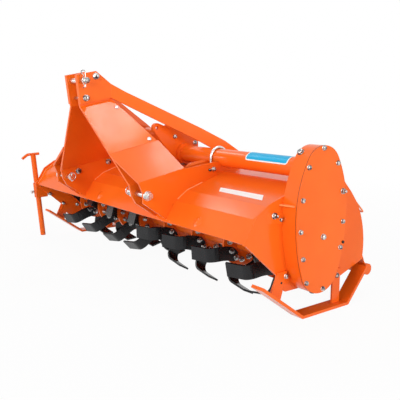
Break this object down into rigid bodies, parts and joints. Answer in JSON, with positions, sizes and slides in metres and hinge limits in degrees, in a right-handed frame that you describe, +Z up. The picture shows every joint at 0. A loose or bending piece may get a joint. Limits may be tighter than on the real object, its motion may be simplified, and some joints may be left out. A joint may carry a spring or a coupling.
{
  "type": "rotavator, tractor-mounted with side gear case",
  "caption": "Tractor-mounted rotary tiller: bladed rotor under a bent hood, side gear case, three-point mast with braces, skids, hinged trailing board and parking stand.",
  "frame": {"origin": "on the floor, under the middle of the machine's box", "axes": "+X across the machine towards the side gear case, +Y towards the trailing board (away from the tractor), +Z up"},
  "size_m": [1.97, 0.9139, 0.93],
  "materials": {
    "orange_paint": "gloss powder coat",
    "black_blades": "satin black paint",
    "zinc_steel": "zinc plated",
    "bare_steel": "machined, greased"
  },
  "bodies": {
    "frame": {"beam_tube": "orange_paint", "brace_foot_left": "orange_paint", "brace_foot_right": "orange_paint", "brace_left": "orange_paint", "brace_right": "orange_paint", "drive_tube": "orange_paint", "end_plate_left": "orange_paint", "end_plate_right": "orange_paint", "gear_case": "orange_paint", "gear_case_cover": "orange_paint", "gearbox": "orange_paint", "hinge_rod": "zinc_steel", "hitch_bracket_left": "orange_paint", "hitch_bracket_right": "orange_paint", "hood": "orange_paint", "lower_hitch_pin_left": "zinc_steel", "lower_hitch_pin_right": "zinc_steel", "mast_bolts": "zinc_steel", "mast_leg_left": "orange_paint", "mast_leg_right": "orange_paint", "rotor_bearing_left": "orange_paint", "rotor_bearing_right": "orange_paint", "skid_left": "orange_paint", "skid_right": "orange_paint", "skid_straps_left": "orange_paint", "skid_straps_right": "orange_paint", "stand_bracket": "orange_paint", "top_link_pin": "zinc_steel", "tube_clamp_left": "zinc_steel", "tube_clamp_right": "zinc_steel"},
    "rotor": {"blade_gang_1": "black_blades", "blade_gang_2": "black_blades", "blade_gang_3": "black_blades", "blade_gang_4": "black_blades", "blade_gang_5": "black_blades", "blade_gang_6": "black_blades", "blade_gang_7": "black_blades", "blade_gang_8": "black_blades", "rotor_tube": "orange_paint"},
    "drive_input": {"input_shaft": "bare_steel"},
    "rear_board": {"board_pipe": "orange_paint", "trailing_board": "orange_paint"},
    "stand": {"parking_stand": "orange_paint"}
  },
  "joints": [
    {"name": "rotor_spin", "type": "hinge", "parent": "frame", "child": "rotor", "pos_m": [0, 0.04, 0.219], "axis": [1, 0, 0], "continuous": true},
    {"name": "input_spin", "type": "hinge", "parent": "frame", "child": "drive_input", "pos_m": [0, -0.15, 0.558], "axis": [0, 1, 0], "continuous": true},
    {"name": "board_swing", "type": "hinge", "parent": "frame", "child": "rear_board", "pos_m": [0, 0.262, 0.468], "axis": [1, 0, 0], "range_deg": [0, 60]},
    {"name": "stand_slide", "type": "slide", "parent": "frame", "child": "stand", "axis": [0, -0.0814, 0.9967], "range_m": [0, 0.16]}
  ],
  "couplings": [
    {"joint": "input_spin", "follows": "rotor_spin", "ratio": -2.6}
  ]
}
